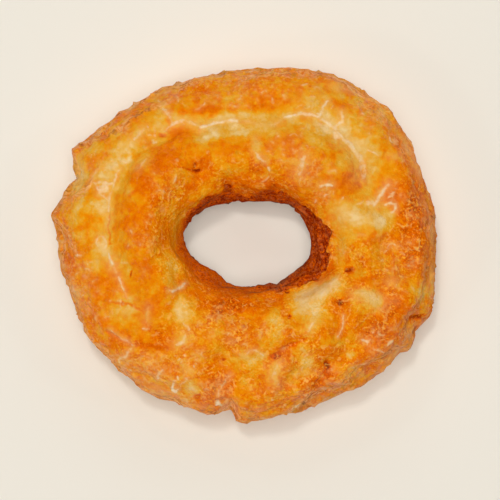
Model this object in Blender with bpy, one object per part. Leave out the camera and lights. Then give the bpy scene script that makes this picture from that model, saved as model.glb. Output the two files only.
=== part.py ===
"""A sour cream doughnut: one fried ring of dough that stands on its flat base.

Metres, +Z up. The origin is the middle of the box's underside. +X runs along the doughnut's
longest side, from the two torn petals on its left to the plain round side on its right.
"""
import math

import bmesh
import bpy
from mathutils import Vector, noise

MM = 0.001

# Driving dimensions, in millimetres
LENGTH = 90.0
WIDTH = 83.0
HEIGHT = 28.0

# The section's levels above the base, in millimetres
FLARE_HEIGHT = 3.4
THROAT_HEIGHT = 8.5
WALL_HEIGHT = 15.0
LIP_HEIGHT = 20.5
SHOULDER_HEIGHT = 25.0
MOUND_SIDE_HEIGHT = 26.9
GROOVE_HEIGHT = 26.0
FLANGE_HEIGHT = 24.9
FLANGE_CROWN_HEIGHT = 23.7
EDGE_HEIGHT = 19.9
RIM_HEIGHT = 15.5
WAIST_HEIGHT = 10.5
UNDERCUT_HEIGHT = 4.5

# How far the section's stations lie in from the radii below, in millimetres
FOOT_INSET_IN = 4.5
FLARE_INSET = 1.1
SHOULDER_INSET = 3.0
MOUND_SIDE_INSET = 3.6
GROOVE_WALL_INSET = 1.4
GROOVE_INSET = 0.1
FLANGE_INSET = 2.6
EDGE_INSET = 2.6
RIM_INSET = 0.7
UNDERCUT_INSET = 1.9
FOOT_INSET_OUT = 6.5

# Where the wall, the mound's crown and the flange's crown lie between two radii
WALL_PLACE = 0.45
CROWN_PLACE = 0.52
FLANGE_PLACE = 0.55

# The groove's depth as felt on its wall and on the flange beside it
WALL_DEPTH_SHARE = 0.55
FLANGE_DEPTH_SHARE = 0.35

# Where the groove is shallower than this depth, the flange rises into one dome with the mound
OPEN_GROOVE_DEPTH = 2.4
DOME_RISE = 0.8
DOME_SIDE_SHARE = 0.5

# How much of a tear reaches the flange's edge, the rim, the waist and the undercut
TEAR_SHARES = (0.9, 1.0, 0.8, 0.3)
TEAR_SHARPNESS = 1.15

# Radii about the ring's centre, in millimetres, each a smooth closed curve through sixteen
# evenly spaced directions that start at +X and run counterclockwise
RIM_RADII = (
    43.9, 43.9, 44.6, 43.2, 40.2, 40.0, 41.2, 42.3,
    42.8, 42.1, 42.0, 41.5, 41.9, 41.3, 43.3, 44.3,
)
THROAT_RADII = (
    14.7, 15.0, 13.0, 10.0, 9.7, 9.9, 11.4, 13.4,
    14.6, 12.0, 10.4, 11.1, 10.7, 11.5, 12.4, 14.3,
)
LIP_RADII = (
    18.7, 16.9, 14.7, 12.8, 11.6, 12.9, 13.9, 15.4,
    15.8, 14.6, 14.3, 12.8, 12.4, 12.9, 15.2, 18.9,
)
GROOVE_RADII = (
    33.5, 31.2, 32.3, 30.8, 27.4, 28.4, 31.8, 31.8,
    31.0, 29.8, 30.0, 29.5, 29.0, 30.5, 32.5, 34.5,
)
GROOVE_DEPTHS = (
    0.3, 1.8, 3.4, 3.2, 2.8, 3.0, 3.2, 3.6,
    3.2, 2.2, 1.1, 0.5, 0.4, 0.3, 0.4, 0.3,
)

# Torn petals, nubs and nicks of the rim: direction in degrees, reach in millimetres (inward
# where negative), and how many degrees each takes clockwise and counterclockwise
RIM_TEARS = (
    (151.0, 4.6, 11.5, 7.0),
    (159.4, -2.2, 5.5, 6.0),
    (172.3, 2.9, 10.0, 6.0),
    (42.5, 1.1, 3.5, 3.0),
    (-19.7, 0.9, 4.0, 3.0),
    (-33.4, 1.5, 3.0, 5.0),
    (-82.3, 0.6, 3.0, 3.0),
    (-90.0, 0.7, 2.6, 6.0),
    (-95.1, -2.8, 5.2, 2.6),
)

# Pits and hollows of the top: x and y from the ring's centre, half width and depth, in millimetres
HOLLOWS = (
    (-9.6, 16.9, 2.6, 1.7),
    (-3.8, 12.6, 1.9, 1.2),
    (23.5, -6.4, 2.0, 1.3),
    (21.5, -13.8, 2.1, 1.3),
    (10.2, -17.0, 1.6, 0.8),
    (18.7, -28.8, 2.2, 1.4),
    (16.0, -7.8, 1.8, 1.0),
    (-4.5, -15.5, 2.6, 0.8),
    (-18.5, -23.0, 3.2, 1.0),
    (-22.0, 22.0, 4.0, 0.9),
    (26.0, 12.0, 3.0, 0.7),
    (-27.0, -8.5, 2.6, 0.6),
)

# Creases of the top: two end points from the ring's centre, half width and depth, in millimetres
CREASES = (
    ((6.5, -26.3), (11.8, -22.4), 1.5, 1.1),
    ((18.6, -29.5), (16.4, -34.5), 1.8, 1.0),
    ((37.8, -17.2), (41.8, -17.6), 1.6, 1.2),
    ((-31.0, -20.8), (-25.8, -23.4), 1.5, 0.9),
    ((-5.8, -34.0), (-4.0, -30.6), 1.4, 1.0),
    ((22.2, -16.5), (21.2, -21.5), 1.6, 0.8),
    ((31.8, 11.6), (28.4, 9.0), 1.5, 0.8),
    ((-19.6, 32.2), (-16.6, 27.4), 1.6, 0.8),
)

# Relief of the whole crust: wavelength and height in millimetres
SWELLS = (19.0, 0.9)
LUMPS = (9.5, 1.7)
CRAGS = (5.0, 1.5)
SIDE_LEDGES = (11.0, 4.2, 1.5)
SIDE_SHARE = 0.3
RELIEF_FADE_HEIGHT = 3.0
DENT_STEEPNESS = 1.6

# Steps of the mesh: round the ring, along each stretch of the section, and across the base
ROUND_STEPS = 140
SECTION_STEPS = (1, 2, 2, 2, 2, 3, 3, 2, 2, 2, 3, 3, 2, 2, 2, 2)
BASE_STEPS = 3

CRUST_COLOUR = (0.72, 0.235, 0.018, 1.0)
CRUST_ROUGHNESS = 0.34


def catmull_rom(before, start, end, after, t):
    """A point between start and end on the smooth curve through all four."""
    straight = (end - before) * t
    bend = (before * 2 - start * 5 + end * 4 - after) * t ** 2
    twist = (start * 3 - before - end * 3 + after) * t ** 3
    return start + (straight + bend + twist) * 0.5


def ring_value(keys, angle):
    """The value, in a given direction, of a closed curve through evenly spaced keys."""
    place = angle / math.tau * len(keys)
    first = math.floor(place)
    around = [keys[(first + step) % len(keys)] for step in (-1, 0, 1, 2)]
    return catmull_rom(*around, place - first)


def tear_reach(angle):
    """How far petals, nubs and nicks move the rim in one direction."""
    reach = 0.0
    for centre, amount, clockwise, counterclockwise in RIM_TEARS:
        turn = (math.degrees(angle) - centre + 180.0) % 360.0 - 180.0
        half_width = clockwise if turn < 0.0 else counterclockwise
        reach += amount * max(0.0, 1.0 - abs(turn) / half_width) ** TEAR_SHARPNESS
    return reach


def section_stations(angle):
    """Radius and height of the section's stations, from the base's inner edge to its outer one."""
    tear = tear_reach(angle)
    rim = ring_value(RIM_RADII, angle)
    throat = ring_value(THROAT_RADII, angle)
    lip = ring_value(LIP_RADII, angle)
    groove = ring_value(GROOVE_RADII, angle)
    depth = ring_value(GROOVE_DEPTHS, angle)
    dome = DOME_RISE * max(0.0, 1.0 - depth / OPEN_GROOVE_DEPTH)
    edge_tear, rim_tear, waist_tear, undercut_tear = (tear * share for share in TEAR_SHARES)
    stations = (
        (throat + FOOT_INSET_IN, 0.0),
        (throat + FLARE_INSET, FLARE_HEIGHT),
        (throat, THROAT_HEIGHT),
        (throat + (lip - throat) * WALL_PLACE, WALL_HEIGHT),
        (lip, LIP_HEIGHT),
        (lip + SHOULDER_INSET, SHOULDER_HEIGHT),
        (lip + (groove - lip) * CROWN_PLACE, HEIGHT),
        (groove - MOUND_SIDE_INSET, MOUND_SIDE_HEIGHT),
        (groove - GROOVE_WALL_INSET, GROOVE_HEIGHT - depth * WALL_DEPTH_SHARE),
        (groove + GROOVE_INSET, GROOVE_HEIGHT - depth),
        (groove + FLANGE_INSET, FLANGE_HEIGHT - depth * FLANGE_DEPTH_SHARE + dome * DOME_SIDE_SHARE),
        (groove + (rim - groove) * FLANGE_PLACE, FLANGE_CROWN_HEIGHT + dome),
        (rim - EDGE_INSET + edge_tear, EDGE_HEIGHT),
        (rim - RIM_INSET + rim_tear, RIM_HEIGHT),
        (rim + waist_tear, WAIST_HEIGHT),
        (rim - UNDERCUT_INSET + undercut_tear, UNDERCUT_HEIGHT),
        (rim - FOOT_INSET_OUT, 0.0),
    )
    return [Vector(station) for station in stations]


def section_points(angle):
    """The closed section in one direction: a smooth curve over the stations, then the flat base."""
    stations = section_stations(angle)
    padded = [stations[0] * 2 - stations[1]] + stations + [stations[-1] * 2 - stations[-2]]
    points = []
    for index, steps in enumerate(SECTION_STEPS):
        around = padded[index:index + 4]
        points += [catmull_rom(*around, step / steps) for step in range(steps)]
    base_out, base_in = stations[-1], stations[0]
    points += [base_out.lerp(base_in, step / BASE_STEPS) for step in range(BASE_STEPS)]
    return points


def smooth_step(value):
    """A smooth change from 0 to 1 while the value goes from 0 to 1."""
    clamped = min(max(value, 0.0), 1.0)
    return clamped * clamped * (3.0 - 2.0 * clamped)


def crease_distance(place, start, end):
    """Distance in plan from a place to the straight line between two points."""
    start, end = Vector(start), Vector(end)
    run = end - start
    along = min(max((place - start).dot(run) / run.length_squared, 0.0), 1.0)
    return (place - start - run * along).length


def top_dent(place):
    """Depth of the pits and creases at one place of the top."""
    depth = 0.0
    for x, y, half_width, deepest in HOLLOWS:
        distance = (place - Vector((x, y))).length
        depth += deepest * math.exp(-(distance / half_width) ** 2)
    for start, end, half_width, deepest in CREASES:
        distance = crease_distance(place, start, end)
        depth += deepest * math.exp(-(distance / half_width) ** 2)
    return depth


def relief(point, normal):
    """How far the crust stands out at one point, in millimetres; the base stays flat."""
    lumps = 0.0
    for wavelength, amount in (SWELLS, LUMPS, CRAGS):
        lumps += amount * noise.noise(point / wavelength + Vector((0.0, 0.0, wavelength)))
    run, rise, amount = SIDE_LEDGES
    ledges = amount * noise.noise(Vector((point.x / run, point.y / run, point.z / rise)))
    flatness = abs(normal.z)
    height = lumps * (SIDE_SHARE + (1.0 - SIDE_SHARE) * flatness) + ledges * (1.0 - flatness)
    height -= top_dent(point.xy) * smooth_step(normal.z * DENT_STEEPNESS)
    return height * smooth_step(point.z / RELIEF_FADE_HEIGHT)


def build_ring(mesh_name):
    """The ring of dough as one closed mesh, in millimetres about the ring's centre."""
    mesh = bmesh.new()
    loops = []
    for step in range(ROUND_STEPS):
        angle = step / ROUND_STEPS * math.tau
        across = Vector((math.cos(angle), math.sin(angle), 0.0))
        loops.append([mesh.verts.new(across * r + Vector((0.0, 0.0, z))) for r, z in section_points(angle)])
    for loop, following in zip(loops, loops[1:] + loops[:1]):
        for index, corner in enumerate(loop):
            before = index - 1
            mesh.faces.new((corner, following[index], following[before], loop[before]))
    mesh.normal_update()
    moves = [vert.normal * relief(vert.co, vert.normal) for vert in mesh.verts]
    for vert, move in zip(mesh.verts, moves):
        vert.co += move
    fit_to_box(mesh)
    bmesh.ops.triangulate(mesh, faces=mesh.faces)
    data = bpy.data.meshes.new(mesh_name)
    mesh.to_mesh(data)
    mesh.free()
    data.shade_smooth()
    return data


def fit_to_box(mesh):
    """Give the ring its real size in metres, with the middle of the box's underside at the origin."""
    lows = [min(vert.co[axis] for vert in mesh.verts) for axis in range(3)]
    highs = [max(vert.co[axis] for vert in mesh.verts) for axis in range(3)]
    middle = Vector(((lows[0] + highs[0]) / 2, (lows[1] + highs[1]) / 2, 0.0))
    scale = [size / (high - low) * MM for size, low, high in zip((LENGTH, WIDTH, HEIGHT), lows, highs)]
    for vert in mesh.verts:
        vert.co = (vert.co - middle) * Vector(scale)


def crust_material():
    """Fried, glazed crust: orange brown, half glossy."""
    material = bpy.data.materials.new("crust")
    material.use_nodes = True
    shader = material.node_tree.nodes["Principled BSDF"]
    shader.inputs["Base Color"].default_value = CRUST_COLOUR
    shader.inputs["Roughness"].default_value = CRUST_ROUGHNESS
    shader.inputs["Metallic"].default_value = 0.0
    return material


def main():
    for item in list(bpy.data.objects):
        bpy.data.objects.remove(item, do_unlink=True)
    doughnut = bpy.data.objects.new("doughnut", build_ring("doughnut"))
    doughnut.data.materials.append(crust_material())
    bpy.context.scene.collection.objects.link(doughnut)


main()
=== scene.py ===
"""Looks of the glazed sour cream doughnut: its fried crust, floor, light and camera.

Lengths are millimetres in the part's own frame unless a name says otherwise: X to the right and Y up
in the photograph, from the middle of the doughnut. Turns and headings are in degrees. The glaze is
the crust's wet coat, the smooth filling of its groove and its milky threads.
"""
import itertools
import math

import bpy
import numpy as np
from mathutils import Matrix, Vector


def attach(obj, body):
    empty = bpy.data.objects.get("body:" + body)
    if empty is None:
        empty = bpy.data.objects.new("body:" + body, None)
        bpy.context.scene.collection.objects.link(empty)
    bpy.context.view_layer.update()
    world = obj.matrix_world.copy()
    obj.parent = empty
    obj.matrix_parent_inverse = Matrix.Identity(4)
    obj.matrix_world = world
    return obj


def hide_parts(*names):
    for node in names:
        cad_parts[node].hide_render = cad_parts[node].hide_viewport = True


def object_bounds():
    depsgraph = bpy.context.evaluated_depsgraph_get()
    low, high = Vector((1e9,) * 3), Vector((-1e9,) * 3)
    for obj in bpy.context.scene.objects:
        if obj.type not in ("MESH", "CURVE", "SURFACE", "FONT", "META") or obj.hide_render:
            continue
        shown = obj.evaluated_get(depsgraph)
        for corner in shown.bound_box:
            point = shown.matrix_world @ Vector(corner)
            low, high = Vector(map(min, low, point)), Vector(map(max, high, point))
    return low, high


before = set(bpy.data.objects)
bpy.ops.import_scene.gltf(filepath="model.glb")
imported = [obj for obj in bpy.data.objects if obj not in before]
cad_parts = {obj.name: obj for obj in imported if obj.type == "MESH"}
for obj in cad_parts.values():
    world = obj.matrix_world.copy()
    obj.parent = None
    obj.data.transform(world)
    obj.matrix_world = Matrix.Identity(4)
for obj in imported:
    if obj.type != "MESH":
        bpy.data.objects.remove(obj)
cad_low, cad_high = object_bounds()

scene = bpy.context.scene
MM = 0.001

# Pits and brown spots of the top: x, y, half sizes, depth, how dark each is, and its turn
PITS = (
    (-10.3, 17, 1, 0.6, 0.8, 0.94, 20), (-10.9, 18.4, 0.5, 0.9, 0.5, 0.86, -10),
    (-9.2, 19.3, 1.2, 0.8, 0.3, 0.74, 20), (-3.6, 13.6, 1.2, 0.9, 1, 0.93),
    (23.9, -5.5, 1.3, 0.9, 0.7, 0.92, -10), (21.8, -12.8, 1.1, 1.1, 0.6, 0.93),
    (10.4, -16, 0.5, 0.7, 0.7, 0.87), (7.3, -25, 1.3, 0.7, 0.8, 0.88, 25), (19, -27.4, 1, 1.4, 0.5, 0.94),
    (18.8, -28.9, 0.9, 0.7, 0.4, 0.8), (16.3, -7, 1, 1.1, 1.2, 0.98),
    (-25.5, -6.3, 0.3, 0.8, 0.4, 0.9, -20), (-18.7, 25, 1.2, 0.6, 0.4, 0.74, -10),
    (-26.9, 27.6, 0.35, 0.3, 0.3, 0.82), (-4.7, -25.7, 0.6, 0.4, 0.4, 0.86, -20),
    (2.5, 32.1, 0.35, 0.3, 0.3, 0.8), (28.2, -28.6, 0.9, 1.5, 0.2, 0.74),
    (12.3, -8.6, 1.1, 0.6, 0.6, 0.84), (10, -10.5, 0.8, 0.4, 0.4, 0.86), (-5, -14.6, 1, 0.6, 0.5, 0.88),
    (-2.6, -14.2, 1.4, 0.6, 0.2, 0.78), (-0.8, -14.9, 1.2, 0.5, 0.1, 0.76),
    (-10.5, -34.5, 1.3, 1, 0.4, 0.76, 20), (-6, -37.6, 1.2, 0.7, 0.3, 0.74, 20),
    (37, 8.2, 1.1, 0.6, 0.2, 0.76), (39.5, -19.5, 0.6, 1.5, 0.4, 0.86, -25),
    (25.8, 13.8, 1.1, 0.7, 0.3, 0.72, -40), (21.8, -31.8, 0.5, 0.4, 0.2, 0.7),
    (-22, -13.4, 0.6, 0.4, 0.2, 0.74), (34.5, -12.8, 0.4, 1.6, 0.2, 0.68),
)

# Creases: two ends, half width, depth and how dark each is
CREASES = (
    ((-15.2, 18.3), (-12.2, 17.7), 0.35, 0.2, 0.7), ((-12.2, 17.7), (-10.4, 16.9), 0.45, 0.4, 0.84),
    ((6.8, -25.2), (11.5, -21.8), 0.7, 0.7, 0.78), ((11.5, -21.8), (13.8, -20.9), 0.5, 0.4, 0.7),
    ((18.9, -28.5), (16.4, -33.5), 1, 0.5, 0.74), ((38, -16), (42.2, -16.6), 0.8, 0.6, 0.86),
    ((-31, -19.6), (-25.5, -22.4), 0.6, 0.5, 0.7), ((-24.5, -22.2), (-17.5, -23), 0.9, 0.4, 0.74),
    ((-30, -12.8), (-24.5, -13.9), 0.5, 0.05, 0.62), ((-24.5, -13.9), (-23.4, -15.6), 0.5, 0.05, 0.62),
    ((-30.1, 7), (-30.3, 0.5), 0.3, 0.05, 0.56), ((-2, -36.2), (-1.9, -40), 0.6, 0.5, 0.72),
)

# Where the smooth top breaks off into the brown wall of the hole
BREAK = (
    (-15.1, 2.4), (-14.3, 4.8), (-13.3, 7), (-12.3, 8.6), (-10.4, 9.7), (-9, 10.9), (-7, 11.6),
    (-4.9, 12.3), (-4.2, 13.9), (-3.4, 13.9), (-2.4, 12.3), (0, 11.8), (2.2, 11.7), (3.5, 12.5),
    (5.2, 13.1), (7, 12.8), (8.6, 12.3), (10, 11.5), (11.6, 10.6), (13, 9.5), (14.6, 8.2), (16, 7.2),
    (17.4, 6.1), (18.2, 5), (19.9, 3.5), (19.6, 2.4), (19.2, 0.8), (18.5, -0.9), (19.5, -2.4), (19.3, -4),
    (18.8, -5.3), (17.4, -6.4), (17, -7.4), (15.4, -8), (13.8, -8.3), (12, -9), (9.6, -10), (6, -10.4),
    (2, -10.8), (-2, -10.8), (-6.1, -10.8), (-8.6, -9.6), (-10.8, -8.1), (-12.4, -6.1), (-13.7, -4.1),
    (-14.7, -2.1), (-15.2, 0.2),
)

# The groove where the middle ring rose out of the crust, now filled with glaze
GROOVE = (
    ((-27.2, 18.4), (-28.9, 16.5), (-29.2, 14.5), (-30.3, 12), (-30.5, 8.5), (-30, 5), (-30.6, 0),
     (-29.6, -4), (-28, -7.6), (-26.5, -11.8)),
    ((-27.2, 18.4), (-22.5, 22.8), (-18.5, 26), (-15.2, 28.1), (-9.5, 26.7), (-3, 28.3), (4, 27.6),
     (9, 28.6), (13, 29.8), (18, 28.6), (22, 25.2), (25.4, 21.5), (26.7, 18.5), (26.8, 15), (27, 11)),
)

# Pale patches where the crust is thin or the crumb shows; those at (17.8, -10.3) and (20.8, -8.6) are also
# painted light on a shaded fold by the hole: x, y, half sizes, strength, turn
PALE = (
    (26.2, 6.3, 5.8, 2.9, 1.05), (30.5, 6, 3.2, 2.4, 1.1), (22.6, 7.4, 2.4, 2.8, 0.95),
    (27, 8.6, 2.6, 1, 0.6, 10), (14.6, -13.2, 4.2, 4.2, 1.2), (17.8, -10.3, 3.2, 1.6, 1.15, 40),
    (20.8, -8.6, 2, 1.6, 0.95), (29.6, -12.4, 3.4, 1.5, 0.8, -22), (27, -10.9, 3.2, 0.8, 0.7, -5),
    (26.5, -6.4, 2.2, 0.9, 0.45), (26.5, -14, 2.4, 1.6, 0.5, -20), (13.4, -23.4, 1.3, 1.1, 0.75),
    (14.2, -26.3, 2.2, 1.2, 0.7, -20), (13.5, -28.8, 2.6, 1, 0.45), (7, -17.6, 1.6, 3.4, 0.7),
    (15, -17.8, 1.5, 1.3, 0.55), (-14, -15.4, 2.2, 3.4, 0.95), (-13.5, -20.8, 1.8, 1.4, 0.6),
    (-26.6, -15, 2.8, 1.8, 0.6, -10), (-28, 22.6, 3.4, 2.4, 0.85, 20), (-27, 19.6, 1.6, 1.1, 1),
    (-31.2, 18.6, 2.6, 1.5, 0.9), (-32, 16, 2.2, 1.2, 0.8), (-35, 9, 3.8, 2, 0.75),
    (-33, 3.8, 2.6, 2.4, 0.6), (-32.4, -0.6, 2.2, 2.2, 0.5), (-37.5, 6.2, 2.4, 2, 0.4),
    (-34, -4, 1.6, 2, 0.4), (-24, 25.4, 2, 1.2, 0.6, 30), (-20.5, 29, 3, 2.4, 0.5, 40),
    (-12, 29.2, 6, 0.9, 0.2), (22.5, 34, 2.6, 1.4, 0.4, -30), (26, 33, 2, 1.4, 0.4, -35),
    (26, -29.6, 2, 2, 0.35, -40), (-30, 26, 2.6, 1.6, 0.4, 35), (-34, 22, 2.4, 2, 0.4),
    (-38, 2, 2.2, 1.8, 0.4), (-26, -6, 1.8, 2.4, 0.4), (30, 26, 2, 2, 0.3), (-27, 12, 1.2, 3.6, 0.4),
    (30, 29.6, 2.4, 2, 0.4, -45), (-2, 34.5, 3, 1.8, 0.4), (22, 0.4, 2.2, 3.4, 0.45),
    (22, 19.6, 2, 3, 0.3), (22.6, 26.2, 2, 1.6, 0.85, -45), (-27.5, -2, 1.6, 3, 0.35),
    (0.5, 29.4, 11, 1.2, 0.6), (-2, 26.2, 3, 1.5, 0.8), (17, 25, 6, 3, 0.35, -20),
    (-38, 15.4, 2.6, 4, 0.85), (0.8, 25.8, 4.6, 1.8, 0.75), (-7.5, 25.2, 3, 1.3, 0.9, 10),
    (3, 23.3, 1.3, 1.9, 0.7), (16, 32.6, 4, 1.8, 0.6), (19.5, 30, 5.5, 2.6, 0.75, -25),
    (24.5, 27.6, 4.4, 2.8, 0.7, -45), (28, 23.8, 3.6, 3.4, 0.68, -45), (29, 19, 1.9, 3.6, 0.55),
    (29.5, 14.5, 1.5, 2.4, 0.15), (18.6, 26.3, 2.4, 1.3, 0.9, -20), (2, -25.4, 3.2, 1.5, 0.75),
    (7.2, -28.2, 0.9, 3.2, 0.6), (23.2, -22, 2.2, 1.6, 0.55), (24, -25, 1.2, 1, 0.75),
    (40.6, -10.6, 1.4, 2, 1.1), (38.6, -9, 1.6, 2, 0.5), (-17.6, -4.4, 2.2, 1.4, 0.4),
    (-17.4, -7.2, 2.2, 1.4, 0.4), (-15, -5, 1.2, 1.2, 0.6), (-6.5, -21, 2.4, 1.8, 0.4, 20),
    (-5.2, 17, 2.2, 2.8, 0.35), (-12.4, -28.2, 1.8, 1.1, 0.55), (-11.5, -32.4, 1.5, 1.2, 0.65),
    (0.6, -31, 1.4, 1.6, 0.45), (34, -7.8, 2.4, 1.8, 0.4), (-15.8, 8.5, 1.6, 2.6, 0.35, -30),
)

# Deeper fried patches: x, y, half sizes, strength, turn
FRIED = (
    (-22.6, 14, 2.4, 2.8, 1), (-21.4, 8, 1.8, 3.8, 0.9), (-17.8, 19.8, 3, 2.8, 0.95),
    (-14.3, 26, 2.6, 1.5, 0.65), (-20, 10.5, 2, 3.4, 0.5), (-16.4, 33.6, 2.6, 1.4, 0.4),
    (-9, 32, 3, 1.6, 0.3), (-9.2, 36, 3.2, 1.2, 0.3, 8), (2.5, 36, 4.6, 1.8, 0.45), (5, 33, 3, 1.4, 0.4),
    (8.6, 25, 1.8, 2.2, 0.1), (12.5, 21.6, 3, 1.4, 0.15, 10), (-1.5, 22.4, 1.8, 2.2, 0.1),
    (14, 14, 4, 2.5, 0.6), (3.6, 18, 2, 1.1, 0.9), (4.8, 21.5, 1.6, 2, 0.5), (10.5, 23, 1.4, 1.6, 0.1),
    (22.4, 21.9, 1.6, 1.6, 0.25), (20, 19.4, 2.6, 1.6, 0.1), (23.8, 15.2, 2.6, 1.5, 0.95),
    (21.8, 13.6, 1.4, 1.4, 0.9), (24.2, 33, 1.4, 0.8, 0.2), (30, 32.2, 1.8, 1.5, 0.3),
    (33, 26.5, 1.6, 2.2, 0.1, 20), (36, 22.8, 1.8, 1.2, 1), (32, 22.6, 1.6, 1, 0.6),
    (35.5, 16.8, 2.4, 2, 0.5), (37.5, 12.5, 2.6, 3.4, 1.5), (39.5, 8, 3.2, 3.4, 0.8),
    (37.5, 3, 2.8, 2.4, 0.65), (39.5, -3.2, 1.4, 1.2, 0.8), (42, -1, 1.2, 4, 0.6),
    (-28.2, -21.6, 2.6, 1.7, 1, -20), (-18.3, -21.6, 2.2, 2.4, 1), (-6.6, -26.8, 2.4, 2.2, 0.75),
    (3, -33, 6, 3, 0.65, 10), (13, -32, 4, 2, 0.5), (31, -16.4, 2.8, 1.6, 0.95),
    (34.2, -14.4, 3.2, 2.6, 2), (30.5, -20, 4, 4.6, 1.6), (38, -4, 3, 4, 1.3), (26, -18.5, 2.4, 1.6, 0.6),
    (36.5, -14.6, 2, 1.8, 0.75), (36, -20, 2.6, 2.4, 0.6), (30.5, -6.6, 3.2, 2, 0.8),
    (34.5, 11, 2.4, 3.4, 1), (-40.6, -3, 2, 2.2, 1.2), (-39.6, -5.4, 2, 1.2, 0.9), (-34, -9, 2, 1.6, 0.5),
    (-34.5, -16.8, 2.6, 1.4, 0.75), (-21, -5.6, 1.2, 1.2, 0.8), (-22.5, 4.4, 2.8, 2, 0.75),
    (-26.2, 5.4, 2, 1.8, 0.6), (-25.2, -1, 1.5, 2, 0.1), (-30, -6.5, 2.4, 3, 0.8),
    (-9.4, 18, 3, 2.4, 0.9), (-1, -20.5, 4, 3.4, 0.6), (-6, -32.5, 3, 4.6, 1.5), (18, -30.6, 2.4, 3, 1.4),
    (21.2, -13.8, 3, 2.6, 0.9), (10, -22.6, 4.6, 1.2, 0.7, 30), (18, -24, 3, 1.8, 0.5),
    (9.5, -13, 1.6, 3, 0.6), (-31, 26.5, 3, 1.4, 0.2, 35), (2, 14.6, 7, 1.4, 0.75),
    (-11.4, 13.8, 3.4, 1.6, 0.8, 30), (-17.6, 4, 1.4, 4, 0.6), (-10, -10.6, 5, 2.2, 0.7, -40),
    (-3, -13.6, 6, 1.8, 1.9), (6, -13, 4, 1.4, 0.7, 10), (36, -8, 5, 8, 0.5), (29, -24, 9, 7, 0.55, -40),
    (22, -18.5, 6, 4, 0.45), (38.5, 4, 3.4, 11, 1.8), (34, 2, 5, 6, 0.15), (-15, -22, 9, 5, 0.25, -45),
    (-16, 14.5, 4, 4, 0.35), (-22, -21, 6, 5, 0.25), (12, -34, 8, 3, 0.3, 15), (-14, 10, 2.2, 2.2, 0.9),
    (-8, 30.6, 3.4, 1.4, 0.9), (-26.5, -9.8, 2, 2.4, 0.9), (-18, -26.5, 2.6, 1.6, 0.7, -20),
    (6.5, 13.8, 2.4, 1.4, 1.3, 20), (34, -10.2, 2.2, 1.4, 1), (38, 10, 2.4, 3.4, 2.6),
    (30, 11, 1.6, 2, 0.6), (-38, -1.5, 2, 2, 0.45), (-6.5, -14.5, 2, 1.6, 1.8),
)

# Places without crags: x, y, half sizes, strength, turn
CALM = (
    (15.5, -11.5, 6, 4.2, 1, 35), (26.2, 6, 5.5, 3, 0.8), (29, -12, 4, 2, 0.6, -15),
    (-17.4, -1, 3, 8, 0.9), (-14.5, 9.5, 4, 3, 0.7, 40),
)

# Places where the glaze soaked in and shines less: x, y, half sizes, strength, turn
DRY = (
    (-21.5, 9.5, 3, 7, 0.9), (37.5, 9, 5, 9, 0.7), (42, -2, 2, 8, 0.7), (6, -34, 5, 3, 0.7),
    (12, 22, 4, 2.5, 0.7), (34, -13, 3, 3, 0.6),
)
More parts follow.
